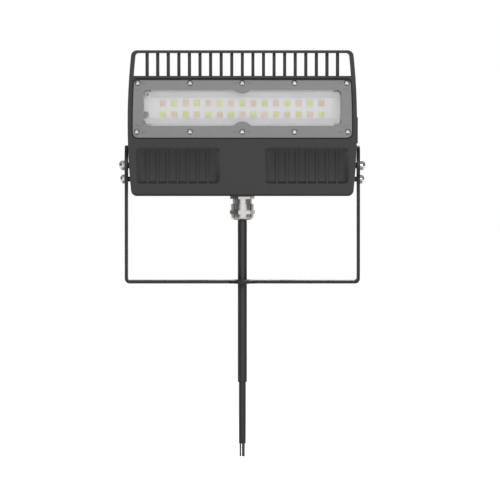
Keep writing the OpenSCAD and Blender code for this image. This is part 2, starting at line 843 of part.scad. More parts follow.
module led_board() color([0.93, 0.93, 0.92]) {
    difference() {
        box_between([-board_w / 2, board_y, window_z - board_h / 2],
                    [board_w / 2, bay_floor_y, window_z + board_h / 2]);
        for (p = board_screw_places) rod_y(p.x, p.y, m25_r + gap, board_y - over, bay_floor_y + over);
    }
}

module board_screws() color([0.75, 0.75, 0.77]) {
    for (p = board_screw_places)
        translate([p.x, board_y, p.y]) rotate([90, 0, 0])
            cross_screw(m25_r, board_t + board_screw_l, board_head_r, board_head_t);
}

// The lights whose row and column add up to an even or an odd number
module leds(odd) {
    for (row = [0, 1]) for (col = [0:led_cols - 1])
        if ((row + col) % 2 == odd)
            translate([(col - (led_cols - 1) / 2) * led_pitch - led_w / 2, board_y - led_t,
                       led_z + (0.5 - row) * led_row_pitch - led_w / 2])
                cube([led_w, led_t, led_w]);
}

module leds_warm() color([0.85, 0.72, 0.6]) leds(0);

module leds_cool() color([0.8, 0.84, 0.55]) leds(1);

// The tab's outline: square at the window's end and round towards the lights
module tab_shape(grow, y0, y1) {
    r = tab_h / 2 + grow;
    x0 = -window_w / 2 + tab_in;
    intersection() {
        union() {
            box_between([x0 - grow, y0, lead_z - r], [x0 + tab_l - tab_h / 2, y1, lead_z + r]);
            rod_y(x0 + tab_l - tab_h / 2, lead_z, r, y0, y1);
        }
        box_between([x0 - grow, y0, lead_z - r], [x0 + tab_l + grow, y1, lead_z + r]);
    }
}

module lead_grommet() color([0.5, 0.5, 0.5]) {
    difference() {
        union() {
            tab_shape(0, board_y - tab_t, board_y - 0.1);
            rod_y(lead_x, lead_z, stem_r, board_y - 1, plate_y + 1.5);
        }
        rod_y(lead_x, lead_z, lead_r + 0.1, board_y - 0.6, plate_y + 3);
    }
}

module led_lead() color([0.8, 0.15, 0.12]) {
    wire([[lead_x, board_y, lead_z], [lead_x, plate_y + 5, lead_z],
          [lead_x, plate_y + 5, lead_high], [driver_x, driver_lead_y, lead_high],
          [driver_x, driver_lead_y, driver_z + driver_case_h / 2 + 0.5]], lead_r);
}

// ---- driver box contents ----

module driver_case() color([0.7, 0.71, 0.72]) {
    difference() {
        union() {
            box_between([driver_x - driver_w / 2, cavity_y, driver_z - driver_case_h / 2],
                        [driver_x + driver_w / 2, cavity_y + driver_d, driver_z + driver_case_h / 2]);
            box_between([driver_x - driver_w / 2 - driver_flange, cavity_y, driver_z - driver_flange_z],
                        [driver_x + driver_w / 2 + driver_flange, driver_in_y, driver_z + driver_flange_z]);
        }
        translate([driver_x, 0, driver_z])
            box_between([driver_t - driver_w / 2, driver_in_y, driver_t - driver_case_h / 2],
                        [driver_w / 2 - driver_t, box_y, driver_case_h / 2 - driver_t]);
        for (x = driver_screw_xs) rod_y(x, driver_z, m3_r + gap, cavity_y - over, driver_in_y + over);
        rod_z(driver_x, driver_lead_y, lead_r + 0.4, driver_z, driver_z + driver_case_h);
    }
}

module driver_board() color([0.1, 0.4, 0.2]) {
    edge = driver_t + slip;
    translate([driver_x, 0, driver_z])
        box_between([edge - driver_w / 2, pcb_y, edge - driver_case_h / 2],
                    [driver_w / 2 - edge, parts_y, driver_case_h / 2 - edge]);
}

module driver_transformer() color([0.85, 0.7, 0.2]) {
    box_between([driver_x - 12, parts_y, driver_z - 9], [driver_x + 8, parts_y + 4, driver_z + 9]);
    box_between([driver_x - 9, parts_y + 3.99, driver_z - 11], [driver_x + 5, parts_y + 17, driver_z + 11]);
}

module driver_capacitors() color([0.15, 0.2, 0.45]) {
    for (z = [-6.5, 6.5]) rod_y(driver_x + 24, driver_z + z, 5.5, parts_y, parts_y + 20);
}

module driver_choke() color([0.7, 0.4, 0.15]) {
    translate([driver_x - 25, parts_y, driver_z]) rotate([-90, 0, 0]) ring(8, 3.5, 9);
}

module driver_screws() color([0.75, 0.75, 0.77]) {
    for (x = driver_screw_xs)
        translate([x, driver_in_y, driver_z]) rotate([-90, 0, 0])
            cross_screw(m3_r, driver_screw_l, m3_head_r, m3_head_t);
}

module terminal_block() color([0.9, 0.9, 0.88]) {
    difference() {
        box_between([block_x - block_w / 2, cavity_y, block_z - block_h / 2],
                    [block_x + block_w / 2, cavity_y + block_d, block_z + block_h / 2]);
        for (i = [-1:1]) {
            rod_y(block_x + i * pole_pitch, block_z, pole_r, cavity_y + 6, cavity_y + block_d + over);
            rod_z(block_x + i * pole_pitch, core_y, core_d / 2 + 0.1, block_z - block_h / 2 - over, block_z);
        }
    }
}

module surge_protector() color([0.75, 0.2, 0.15]) {
    along_y(cavity_y, cavity_y + guard_d) translate([guard_x, guard_z]) rounded(guard_w, guard_h, 2);
}

module ground_screw() color([0.2, 0.6, 0.3]) {
    translate([ground_x, cavity_y, ground_z]) rotate([-90, 0, 0])
        cross_screw(m3_r, ground_screw_l, m3_head_r, m3_head_t);
}

module rear_gasket() color([0.15, 0.15, 0.15]) {
    difference() {
        along_y(box_y, cover_seat_y)
            bowed(head_z + gasket_in, box_top - gasket_in, gasket_in, cover_r, cover_r);
        along_y(box_y - over, cover_seat_y + over)
            bowed(cavity_low, cavity_high, side_wall, cavity_r, cavity_r);
        for (p = cover_screw_places) rod_y(p.x, p.y, m3_r + gap, box_y - over, cover_seat_y + over);
    }
}

module rear_cover() color([0.26, 0.255, 0.26]) {
    difference() {
        union() {
            along_y(cover_seat_y, cover_seat_y + cover_t)
                bowed(head_z + cover_in, box_top - cover_in, cover_in, cover_r, cover_r);
            // a raised field that stiffens the cover
            along_y(cover_seat_y + cover_t - 0.01, cover_seat_y + cover_t + field_t)
                bowed(head_z + field_in, box_top - field_in, field_in, field_r, field_r);
        }
        for (p = cover_screw_places)
            rod_y(p.x, p.y, m3_r + gap, cover_seat_y - over, cover_seat_y + cover_t + over);
    }
}

module rear_cover_screws() color([0.8, 0.8, 0.82]) {
    for (p = cover_screw_places)
        translate([p.x, cover_seat_y + cover_t, p.y]) rotate([-90, 0, 0])
            cross_screw(m3_r, cover_t + cover_gasket_t + cover_screw_l, m3_head_r, m3_head_t);
}

// ---- selector on the right side ----

module selector_switch() color([0.2, 0.2, 0.22]) {
    difference() {
        along_x(sel_seat_x - sel_pit_d, sel_seat_x - 2.5)
            translate([sel_y, sel_z])
                rounded(sel_pit_w - 2 * slip, sel_pit_h - 2 * slip, sel_pit_r);
        box_between([sel_seat_x - 4, sel_y - slider_w / 2 - 0.2, sel_z - 5],
                    [sel_seat_x, sel_y + slider_w / 2 + 0.2, sel_z + 5]);
    }
    box_between([sel_seat_x - 4.01, sel_y - slider_w / 2, sel_z + 1],
                [sel_seat_x - 1, sel_y + slider_w / 2, sel_z + 4]);
}

module selector_gasket() color([0.15, 0.15, 0.15]) {
    difference() {
        along_x(sel_seat_x, sel_seat_x + sel_gasket_t) translate([sel_y, sel_z]) rounded(sel_w, sel_h, sel_r);
        along_x(sel_seat_x - over, sel_seat_x + sel_gasket_t + over)
            translate([sel_y, sel_z]) rounded(sel_pit_w, sel_pit_h, sel_pit_r);
        for (s = [-1, 1])
            rod_x(sel_y, sel_z + s * sel_screw_z, m25_r + gap, sel_seat_x - over, sel_seat_x + 2 * over);
    }
}

module selector_cover() color([0.22, 0.22, 0.22]) {
    x = sel_seat_x + sel_gasket_t;
    difference() {
        along_x(x, x + sel_t) translate([sel_y, sel_z]) rounded(sel_w, sel_h, sel_r);
        for (s = [-1, 1]) {
            rod_x(sel_y, sel_z + s * sel_screw_z, m25_r + gap, x - over, x + sel_t + over);
            rod_x(sel_y, sel_z + s * sel_screw_z, sel_head_r + 0.1, x + sel_t - sel_head_t, x + sel_t + over);
        }
    }
}

module selector_screws() color([0.8, 0.8, 0.82]) {
    for (s = [-1, 1])
        translate([sel_seat_x + sel_gasket_t + sel_t - sel_head_t, sel_y, sel_z + s * sel_screw_z])
            rotate([0, 90, 0]) cross_screw(m25_r, sel_screw_l, sel_head_r, sel_head_t);
}

// ---- gland ----

module hexagon(w, z0, z1) {
    intersection() {
        translate([0, 0, z0]) rotate([0, 0, hex_turn])
            cylinder(r = w / 2 / cos(hex_turn), h = z1 - z0, $fn = 6);
        // the corners of a turned hexagon are broken by a dome
        translate([0, 0, (z0 + z1) / 2]) sphere(r = w * 0.503);
    }
}

module gland_washer() color([0.12, 0.12, 0.12]) {
    translate([0, 0, flange_z]) ring(flange_w / 2, gland_d / 2 + gap, seat_t);
}

module gland_body() color([0.75, 0.74, 0.72]) {
    difference() {
        union() {
            translate([0, 0, neck_z])
                cylinder(r = gland_d / 2, h = cavity_low + locknut_t + thread_end - neck_z);
            hexagon(flange_w, neck_z, flange_z);
            translate([0, 0, nut_z]) cylinder(r = neck_d / 2, h = neck_t + 0.01);
            translate([0, 0, dome_z + 1]) cylinder(r = neck_in_r, h = nut_z - dome_z - 1 + 0.01);
        }
        translate([0, 0, dome_z]) cylinder(r = gland_bore_r, h = cavity_low + locknut_t + 3 - dome_z);
    }
}

module gland_locknut() color([0.72, 0.71, 0.7]) {
    translate([0, 0, cavity_low]) difference() {
        cylinder(r = locknut_w / 2 / cos(30), h = locknut_t, $fn = 6);
        translate([0, 0, -over]) cylinder(r = gland_d / 2 + gap, h = locknut_t + 2 * over);
    }
}

module gland_seal() color([0.1, 0.1, 0.1]) {
    translate([0, 0, mouth_z + lip_t]) ring(seal_r, gland_bore_r, dome_z + 1 - mouth_z - lip_t);
}

module gland_nut() color([0.75, 0.74, 0.72]) {
    difference() {
        union() {
            translate([0, 0, collar_z - over]) cylinder(r = nut_d / 2, h = nut_t + over);
            hexagon(collar_w, dome_z, collar_z);
            translate([0, 0, mouth_z + lip_r]) cylinder(r = dome_r, h = dome_t - lip_r + over);
            // the rounded lip
            rotate_extrude() polygon(concat([[0, mouth_z]],
                arc([dome_r - lip_r, mouth_z + lip_r], lip_r, -90, 0, 6),
                [[dome_r, mouth_z + lip_r + over], [0, mouth_z + lip_r + over]]));
        }
        translate([0, 0, mouth_z - over]) cylinder(r = gland_bore_r, h = dome_t);
        translate([0, 0, mouth_z + lip_t]) cylinder(r = neck_in_r + gap, h = nut_z - mouth_z);
    }
}

// The cable inside the gland and the driver box
module supply_tail() color([0.13, 0.13, 0.13]) {
    translate([0, 0, mouth_z]) cylinder(r = sleeve_d / 2, h = tail_top - mouth_z);
}

// Its three cores, up to the terminal block
module tail_cores() color([0.3, 0.5, 0.2]) {
    z = tail_top + core_rise;
    for (i = [-1:1]) {
        pole_x = block_x + i * pole_pitch;
        wire([[0, i * core_pitch, tail_top], [0, i * core_pitch, z], [pole_x, i * core_pitch, z],
              [pole_x, core_y, z], [pole_x, core_y, block_z - 2]], core_d / 2);
    }
}

// ---- yoke ----

module strap_bend() {
    translate([arm_out - bend_out, -strap_w / 2, bend_out]) rotate([-90, 0, 0])
        rotate_extrude(angle = 90) translate([bend_r, 0]) square([strap_t, strap_w]);
}

// The arm seen from its side: the strap, its shoulders and the round end
module arm_outline() {
    shoulder_y = eye_r * cos(flare);
    shoulder_z = pivot_z - eye_r * sin(flare);
    drop = (shoulder_y - strap_w / 2) / tan(flare);
    translate([-strap_w / 2, bend_out]) square([strap_w, pivot_z - bend_out - eye_r / 2]);
    polygon([[-strap_w / 2, shoulder_z - drop], [strap_w / 2, shoulder_z - drop],
             [shoulder_y, shoulder_z], [-shoulder_y, shoulder_z]]);
    translate([0, pivot_z]) circle(r = eye_r);
}

// The curved slot that the lock bolt travels in, about the pivot
module tilt_slot() {
    r = lock_d / 2 + run_gap;
    translate([arm_in - over, 0, pivot_z]) rotate([0, 90, 0]) {
        rotate([0, 0, -tilt_max]) rotate_extrude(angle = 2 * tilt_max)
            translate([lock_r - r, 0]) square([2 * r, strap_t + 2 * over]);
        for (a = [-tilt_max, tilt_max])
            rotate([0, 0, a]) translate([lock_r, 0, 0]) cylinder(r = r, h = strap_t + 2 * over);
    }
}

module yoke_arm() {
    difference() {
        along_x(arm_in, arm_out) arm_outline();
        rod_x(0, pivot_z, pivot_d / 2 + run_gap, arm_in - over, arm_out + over);
        tilt_slot();
    }
    strap_bend();
}

module mount_slot(x) {
    for (s = [-1, 1])
        translate([x + s * (slot_l - slot_w) / 2, 0, -over]) cylinder(r = slot_w / 2, h = strap_t + 2 * over);
    box_between([x - (slot_l - slot_w) / 2, -slot_w / 2, -over],
                [x + (slot_l - slot_w) / 2, slot_w / 2, strap_t + over]);
}

module yoke() color([0.2, 0.2, 0.2]) {
    difference() {
        union() {
            box_between([bend_out - arm_out, -strap_w / 2, 0], [arm_out - bend_out, strap_w / 2, strap_t]);
            cylinder(r = pad_r, h = strap_t);
        }
        translate([0, 0, -over]) cylinder(r = cable_hole_d / 2, h = strap_t + 2 * over);
        mount_slot(-slot_span / 2);
        mount_slot(slot_span / 2);
    }
    both_sides() yoke_arm();
}

module yoke_grommet() color([0.1, 0.1, 0.1]) {
    difference() {
        union() {
            translate([0, 0, -grommet_lip]) cylinder(r = grommet_r, h = grommet_lip);
            translate([0, 0, -0.01]) cylinder(r = cable_hole_d / 2 - gap, h = strap_t + 0.02);
            translate([0, 0, strap_t]) cylinder(r = grommet_r, h = grommet_lip);
        }
        translate([0, 0, -over - grommet_lip])
            cylinder(r = sleeve_d / 2 + 0.2, h = strap_t + 2 * over + 2 * grommet_lip);
    }
}

// ---- pivot hardware ----

module bolt_x(r, l, z) {
    translate([bolt_end_x, 0, z]) rotate([0, 90, 0]) cylinder(r = r, h = l);
}

// A low domed head on the XY plane with a hexagon socket
module socket_head(r, h) {
    crown = (r * r + h * h) / (2 * h);
    difference() {
        intersection() {
            cylinder(r = r - 0.1, h = h);
            translate([0, 0, h - crown]) sphere(r = crown);
        }
        translate([0, 0, h * 0.4]) cylinder(r = r * 0.44, h = h, $fn = 6);
    }
}

module pivot_bolts() color([0.78, 0.77, 0.76]) {
    x = arm_out + washer_t + spring_t;
    both_sides() {
        bolt_x(pivot_d / 2, x - bolt_end_x + 0.01, pivot_z);
        translate([x, 0, pivot_z]) rotate([0, 90, 0]) socket_head(pivot_head_d / 2, pivot_head_t);
    }
}

module pivot_spring_washers() color([0.7, 0.7, 0.7]) {
    both_sides() difference() {
        rod_x(0, pivot_z, spring_washer_r, arm_out + washer_t, arm_out + washer_t + spring_t);
        rod_x(0, pivot_z, pivot_d / 2 + gap, arm_out, arm_out + washer_t + spring_t + over);
        box_between([arm_out, 2, pivot_z - 0.4], [arm_out + 5, 6, pivot_z + 0.4]);
    }
}

module pivot_washers() color([0.72, 0.72, 0.72]) {
    both_sides() difference() {
        rod_x(0, pivot_z, pivot_washer_r, arm_out, arm_out + washer_t);
        rod_x(0, pivot_z, pivot_d / 2 + gap, arm_out - over, arm_out + washer_t + over);
    }
}

module lock_bolts() color([0.78, 0.77, 0.76]) {
    x = arm_out + washer_t;
    both_sides() {
        bolt_x(lock_d / 2, x - bolt_end_x + 0.01, lock_z);
        translate([x, 0, lock_z]) rotate([0, 90, 0]) cross_head(lock_head_d / 2, lock_head_t);
    }
}

module lock_washers() color([0.72, 0.72, 0.72]) {
    both_sides() difference() {
        rod_x(0, lock_z, lock_washer_r, arm_out, arm_out + washer_t);
        rod_x(0, lock_z, lock_d / 2 + gap, arm_out - over, arm_out + washer_t + over);
    }
}

// ---- cable outside the gland ----

module supply_cable() color([0.13, 0.13, 0.13]) tube(jacket_route, jacket_d / 2);

module cable_sleeve() color([0.16, 0.16, 0.16])
    hollow_tube(sleeve_route, sleeve_d / 2, jacket_d / 2 + sleeve_gap);

module core_wires() color([0.1, 0.1, 0.1]) {
    for (a = core_angles)
        translate(cable_end + [core_ring_r * cos(a), core_ring_r * sin(a), -core_l])
            cylinder(r = core_d / 2, h = core_l);
}

housing();
cooling_fins();
lens_frame();
frame_screws();
lens();
lens_gasket();
reflector();
reflector_screw();
led_board();
leds_cool();
leds_warm();
board_screws();
lead_grommet();
led_lead();
driver_case();
driver_board();
driver_transformer();
driver_capacitors();
driver_choke();
driver_screws();
terminal_block();
surge_protector();
ground_screw();
rear_gasket();
rear_cover();
rear_cover_screws();
selector_switch();
selector_gasket();
selector_cover();
selector_screws();
gland_washer();
gland_body();
gland_locknut();
gland_seal();
gland_nut();
supply_tail();
tail_cores();
yoke();
yoke_grommet();
supply_cable();
cable_sleeve();
core_wires();
pivot_bolts();
pivot_spring_washers();
pivot_washers();
lock_bolts();
lock_washers();
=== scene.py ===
# %% [markdown]
# # A floodlight on its yoke
# The fixed frame says where every part is and how the head tilts. This lesson builds the
# looks round it. Each step first says what the real piece is, then how it could be made and
# why it is made this way, and then makes it.

# %% Load the frame
import math

import bmesh
import bpy
from mathutils import Matrix, Vector


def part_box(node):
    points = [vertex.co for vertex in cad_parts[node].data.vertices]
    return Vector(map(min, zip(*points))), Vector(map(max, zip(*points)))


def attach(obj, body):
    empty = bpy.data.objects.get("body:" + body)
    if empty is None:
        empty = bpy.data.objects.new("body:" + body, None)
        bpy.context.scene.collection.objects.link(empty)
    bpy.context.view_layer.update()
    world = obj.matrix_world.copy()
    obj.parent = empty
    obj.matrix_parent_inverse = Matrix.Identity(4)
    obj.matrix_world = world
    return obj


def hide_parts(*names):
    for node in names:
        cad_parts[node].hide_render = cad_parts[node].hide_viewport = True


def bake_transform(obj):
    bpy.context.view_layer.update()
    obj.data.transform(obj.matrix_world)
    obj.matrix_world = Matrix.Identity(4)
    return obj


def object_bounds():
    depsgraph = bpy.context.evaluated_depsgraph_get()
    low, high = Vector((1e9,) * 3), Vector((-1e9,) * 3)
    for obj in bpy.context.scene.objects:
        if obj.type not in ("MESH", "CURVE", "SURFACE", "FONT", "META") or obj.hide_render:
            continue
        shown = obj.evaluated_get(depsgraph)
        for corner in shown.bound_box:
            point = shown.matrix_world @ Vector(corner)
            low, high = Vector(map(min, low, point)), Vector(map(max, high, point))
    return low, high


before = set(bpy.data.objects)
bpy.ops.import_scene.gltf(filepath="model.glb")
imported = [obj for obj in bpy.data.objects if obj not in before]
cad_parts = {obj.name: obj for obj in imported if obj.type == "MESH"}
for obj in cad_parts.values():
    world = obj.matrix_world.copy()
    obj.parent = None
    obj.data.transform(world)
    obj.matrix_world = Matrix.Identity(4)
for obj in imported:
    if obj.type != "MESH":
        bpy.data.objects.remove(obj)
MM = 0.001
cad_low, cad_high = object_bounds()
print("CAD box", [round(v / MM, 1) for v in (*cad_low, *cad_high)], "mm")

# %% [markdown]
# ## Camera
# A catalogue view of a lamp is taken from far away with a long lens, so that its sides stay
# parallel. An orthographic camera would do that too, but a long lens keeps a trace of depth
# and works the same from every other side. The camera looks down by less than two degrees.

# %% Camera
VIEW_WIDTH = 0.5
CAMERA_FAR = 6.0
CAMERA_RISE = math.radians(1.8)
camera_aim = Vector((7.65 * MM, 0, 33.1 * MM))


def aim_from(place, target):
    """The turn that points something at a target."""
    return (target - place).to_track_quat("-Z", "Y").to_euler()


lens_data = bpy.data.cameras.new("long_lens")
lens_data.sensor_width = 36
lens_data.lens = lens_data.sensor_width * CAMERA_FAR / VIEW_WIDTH
lens_data.clip_start = 0.5
lens_data.clip_end = 60
camera = bpy.data.objects.new("camera", lens_data)
bpy.context.scene.collection.objects.link(camera)
back = Vector((0, -math.cos(CAMERA_RISE), math.sin(CAMERA_RISE)))
camera.location = camera_aim + back * CAMERA_FAR
camera.rotation_euler = aim_from(camera.location, camera_aim)
bpy.context.scene.camera = camera
bpy.context.scene.view_settings.view_transform = "Standard"
print("camera at", [round(v, 2) for v in camera.location], "lens", round(lens_data.lens))

# %% [markdown]
# ## Helpers for meshes
# Most pieces start in one of two ways. A turned part, such as a cable, a washer or a grommet,
# is a short profile spun round an axis, as on a lathe. A cast or stamped part starts as a
# merged copy of the frame's own mesh, whose sharp edges then get the small radius that a
# mould or a press leaves. Real edges are never perfectly sharp, and the thin line of light
# on them is what makes a part look solid.

# %% Mesh helpers
SHARP = math.radians(33)


def new_piece(name, bm, material, body, slot, *stands_for):
    """Turns a bmesh into an object that rides on a body and stands for CAD nodes."""
    mesh = bpy.data.meshes.new(name)
    for face in bm.faces:
        face.smooth = True
    for edge in bm.edges:
        edge.smooth = edge.calc_face_angle(math.pi) < SHARP
    bm.to_mesh(mesh)
    bm.free()
    mesh.materials.append(material)
    piece = bpy.data.objects.new(name, mesh)
    bpy.context.scene.collection.objects.link(piece)
    if body:
        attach(piece, body)
    if stands_for:
        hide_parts(*stands_for)
    print(name, len(mesh.polygons), "faces")
    return piece


def lathe(profile, steps, closed=False):
    """Spins a profile of (radius, height) points about the Z axis."""
    bm = bmesh.new()
    verts = [bm.verts.new((r, 0, z)) for r, z in profile]
    edges = [bm.edges.new(pair) for pair in zip(verts, verts[1:])]
    if closed:
        edges.append(bm.edges.new((verts[-1], verts[0])))
    bmesh.ops.spin(bm, geom=verts + edges, cent=(0, 0, 0), axis=(0, 0, 1),
                   angle=2 * math.pi, steps=steps, use_merge=True)
    bmesh.ops.remove_doubles(bm, verts=bm.verts[:], dist=1e-7)
    bmesh.ops.recalc_face_normals(bm, faces=bm.faces[:])
    return bm


def round_corner(r, z, size, a0, a1, n=4):
    """Points of an arc in a profile, from angle a0 to a1 in degrees."""
    angles = [math.radians(a0 + (a1 - a0) * i / n) for i in range(n + 1)]
    return [(r + size * math.cos(a), z + size * math.sin(a)) for a in angles]


def cad_copy(*nodes):
    """A merged copy of CAD meshes, with flat areas joined into single faces."""
    bm = bmesh.new()
    for node in nodes:
        bm.from_mesh(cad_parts[node].data)
    bmesh.ops.remove_doubles(bm, verts=bm.verts[:], dist=2e-6)
    bmesh.ops.dissolve_limit(bm, angle_limit=math.radians(0.6), verts=bm.verts[:],
                             edges=bm.edges[:], use_dissolve_boundaries=False)
    return bm


def soften(bm, width, segments=2, angle=SHARP):
    """Rounds the sharp edges that are long enough to take the radius."""
    def takes_it(edge):
        if len(edge.link_faces) != 2 or edge.calc_face_angle(0) < angle:
            return False
        return all(e.calc_length() > 2.2 * width for v in edge.verts for e in v.link_edges)

    edges = [e for e in bm.edges if takes_it(e)]
    bmesh.ops.bevel(bm, geom=edges, offset=width, offset_type="OFFSET", segments=segments,
                    affect="EDGES", profile=0.5, material=-1, clamp_overlap=True)
    return len(edges)


def from_cad(name, node, width, material, body, slot, segments=2):
    """A softened copy of one CAD node, which it stands for."""
    bm = cad_copy(node)
    soften(bm, width, segments)
    piece = new_piece(name, bm, material, body, slot, node)
    weigh_normals(piece)
    return piece


def weigh_normals(piece):
    """Keeps the large faces flat next to their rounded edges."""
    weighted = piece.modifiers.new("flat_faces", "WEIGHTED_NORMAL")
    weighted.keep_sharp = True


# %% [markdown]
# ## Helpers for finishes
# No surface has one colour. Powder coat has a fine orange peel, rubber has a bloom, and a
# turned metal has rings. One helper makes a finish from a few numbers: a slow noise shifts
# the colour and the gloss, and a quick one makes the grain that the light catches. All of it
# reads Object coordinates, so it holds still when the head tilts.

# %% Finish helpers
def add_node(tree, kind, **values):
    """Adds a shader node and sets its properties and input sockets by name."""
    node = tree.nodes.new(kind)
    for key, value in values.items():
        if key in node.inputs:
            node.inputs[key].default_value = value
        else:
            setattr(node, key, value)
    return node


def noise(tree, vector, scale, detail=2.0, rough=0.5):
    """A noise texture in turns per metre."""
    node = add_node(tree, "ShaderNodeTexNoise", Scale=scale, Detail=detail, Roughness=rough)
    tree.links.new(vector, node.inputs["Vector"])
    return node.outputs["Fac"]


def spread(tree, factor, low, high):
    """Maps a noise's middle range to low .. high."""
    node = add_node(tree, "ShaderNodeMapRange")
    node.inputs["From Min"].default_value = 0.3
    node.inputs["From Max"].default_value = 0.7
    node.inputs["To Min"].default_value = low
    node.inputs["To Max"].default_value = high
    tree.links.new(factor, node.inputs["Value"])
    return node.outputs["Result"]


def two_tone(tree, factor, dark, light):
    """A colour between two colours."""
    node = add_node(tree, "ShaderNodeMix", data_type="RGBA")
    node.inputs[6].default_value = (*dark, 1)
    node.inputs[7].default_value = (*light, 1)
    tree.links.new(factor, node.inputs[0])
    return node.outputs[2]


def bump(tree, height, depth, strength, before=None):
    """A bump of that depth in metres, on top of another one."""
    node = add_node(tree, "ShaderNodeBump", Strength=strength, Distance=depth)
    tree.links.new(height, node.inputs["Height"])
    if before:
        tree.links.new(before, node.inputs["Normal"])
    return node.outputs["Normal"]


def finish(name, colour, rough, metallic=0.0, tone=0.12, tone_scale=60, grain=1500,
           grain_depth=0.02, stretch=(1, 1, 1), gloss_spread=0.04, **sockets):
    """A material with its own colour drift, gloss drift and grain."""
    material = bpy.data.materials.new(name)
    material.use_nodes = True
    tree = material.node_tree
    shader = tree.nodes["Principled BSDF"]
    shader.inputs["Metallic"].default_value = metallic
    for key, value in sockets.items():
        shader.inputs[key.replace("_", " ")].default_value = value
    place = add_node(tree, "ShaderNodeTexCoord").outputs["Object"]
    mapping = add_node(tree, "ShaderNodeMapping", Scale=stretch)
    tree.links.new(place, mapping.inputs["Vector"])
    place = mapping.outputs["Vector"]
    slow = noise(tree, place, tone_scale, detail=4.0)
    dark = [c * (1 - tone) for c in colour]
    light = [min(c * (1 + tone), 1) for c in colour]
    drift = spread(tree, slow, 0, 1)
    tree.links.new(two_tone(tree, drift, dark, light), shader.inputs["Base Color"])
    gloss = spread(tree, slow, rough - gloss_spread, rough + gloss_spread)
    tree.links.new(gloss, shader.inputs["Roughness"])
    fine = noise(tree, place, grain, detail=3.0, rough=0.6)
    tree.links.new(bump(tree, fine, grain_depth * MM, 0.6), shader.inputs["Normal"])
    return material


# %% [markdown]
# ## The finishes
# The casting is dark grey powder coat and the lens frame a lighter satin paint. Screws and
# bolts are stainless, the gland is nickel plate with faint turning rings, and the cable is
# matt rubber whose grain runs along it, as extrusion leaves it. The parts inside the head
# are seldom seen, so they keep the frame's own meshes and only get their finishes here.

# %% Finishes
powder_coat = finish("powder_coat", (0.0245, 0.0228, 0.0235), 0.5, grain=2000,
                     grain_depth=0.022, tone=0.08, Specular_IOR_Level=0.3)
frame_paint = finish("frame_paint", (0.168, 0.168, 0.17), 0.42, grain=2300,
                     grain_depth=0.01, tone=0.05, tone_scale=35)
stainless = finish("stainless", (0.56, 0.55, 0.54), 0.17, metallic=1.0, grain=1800,
                   grain_depth=0.006, tone=0.06)
nickel = finish("nickel_plate", (0.48, 0.468, 0.448), 0.21, metallic=1.0, tone=0.05,
                stretch=(0.04, 0.04, 1), grain=2600, grain_depth=0.004)
reflector_white = finish("reflector_white", (0.62, 0.62, 0.62), 0.42, grain=900,
                         grain_depth=0.006, tone=0.03)
yoke_coat = finish("yoke_powder_coat", (0.0075, 0.0072, 0.0075), 0.46, grain=2000,
                   grain_depth=0.012, tone=0.1, Specular_IOR_Level=0.35)
jacket_rubber = finish("jacket_rubber", (0.009, 0.0088, 0.009), 0.44, grain=1400,
                       grain_depth=0.02, stretch=(1, 1, 0.06), tone=0.12)
sleeve_rubber = finish("sleeve_rubber", (0.01, 0.0098, 0.01), 0.42, grain=1300,
                       grain_depth=0.02, stretch=(1, 1, 0.05), tone=0.12)
core_plastic = finish("core_insulation", (0.045, 0.045, 0.046), 0.38, grain=2000,
                      grain_depth=0.008)
black_rubber = finish("black_rubber", (0.03, 0.03, 0.03), 0.62, grain=900, tone=0.15)
grey_rubber = finish("grey_rubber", (0.21, 0.21, 0.212), 0.6, grain=1200)
package_white = finish("package_white", (0.7, 0.7, 0.69), 0.4, grain=2500, tone=0.03)
solder = finish("solder", (0.42, 0.41, 0.42), 0.34, metallic=1.0, grain=2500, tone=0.1)
copper = finish("copper_strands", (0.62, 0.3, 0.17), 0.33, metallic=1.0, grain=4000,
                grain_depth=0.05)

inner_finishes = {
    "rear_gasket": black_rubber, "selector_gasket": black_rubber,
    "lens_gasket": black_rubber, "gland_washer": black_rubber, "gland_seal": black_rubber,
    "reflector_screw": finish("dark_screw", (0.16, 0.16, 0.16), 0.35, metallic=1.0),
    "board_screws": stainless, "driver_screws": stainless,
    "gland_locknut": nickel, "supply_tail": sleeve_rubber, "tail_cores": core_plastic,
    "led_lead": finish("lead_red", (0.55, 0.03, 0.02), 0.4),
    "driver_case": finish("case_metal", (0.6, 0.61, 0.62), 0.3, metallic=1.0),
    "driver_board": finish("board_green", (0.02, 0.16, 0.06), 0.35, tone=0.25),
    "driver_transformer": finish("tape_yellow", (0.72, 0.5, 0.05), 0.4),
    "driver_capacitors": finish("sleeve_blue", (0.03, 0.06, 0.2), 0.25),
    "driver_choke": finish("coil_copper", (0.6, 0.25, 0.1), 0.3, metallic=1.0),
    "terminal_block": finish("block_white", (0.72, 0.71, 0.66), 0.45),
    "surge_protector": finish("guard_red", (0.5, 0.04, 0.03), 0.3),
    "ground_screw": finish("earth_green", (0.04, 0.3, 0.08), 0.35, metallic=0.6),
    "selector_switch": finish("switch_black", (0.03, 0.03, 0.03), 0.45),
}
for node, material in inner_finishes.items():
    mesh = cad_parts[node].data
    mesh.materials.clear()
    mesh.materials.append(material)
print(len(bpy.data.materials), "materials")

# %% [markdown]
# ## Supply cable
# The cable leaves the gland's mouth and hangs straight down through a grommet in the yoke.
# It is a jacket with an outer sleeve over its upper part and three bare cores at its end. A
# curve with a bevel could make it, but a spun profile gives the sleeve's rounded lip and the
# jacket's cut end as well. The rings lie close together above the yoke, where a tilt of the
# head bends the real cable, and wide apart below it.

# %% Cable
CABLE_SIDES = 40
BEND_STEP = 2.4 * MM
cable_points = [(0, 0, z * MM) for z in (
    63.2, 55, 45, 35, 25, 15, 5, -5, -20, -40, -60, -80, -99, -115, -130, -145, -160.6)]
mouth = cable_points[0]
jacket_end = cable_points[-1][2]
sleeve_low, sleeve_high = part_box("cable_sleeve")
jacket_low, jacket_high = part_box("supply_cable")
jacket_r = jacket_high.x
sleeve_r = sleeve_high.x
bend_end = (0, 0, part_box("yoke_grommet")[1].z)


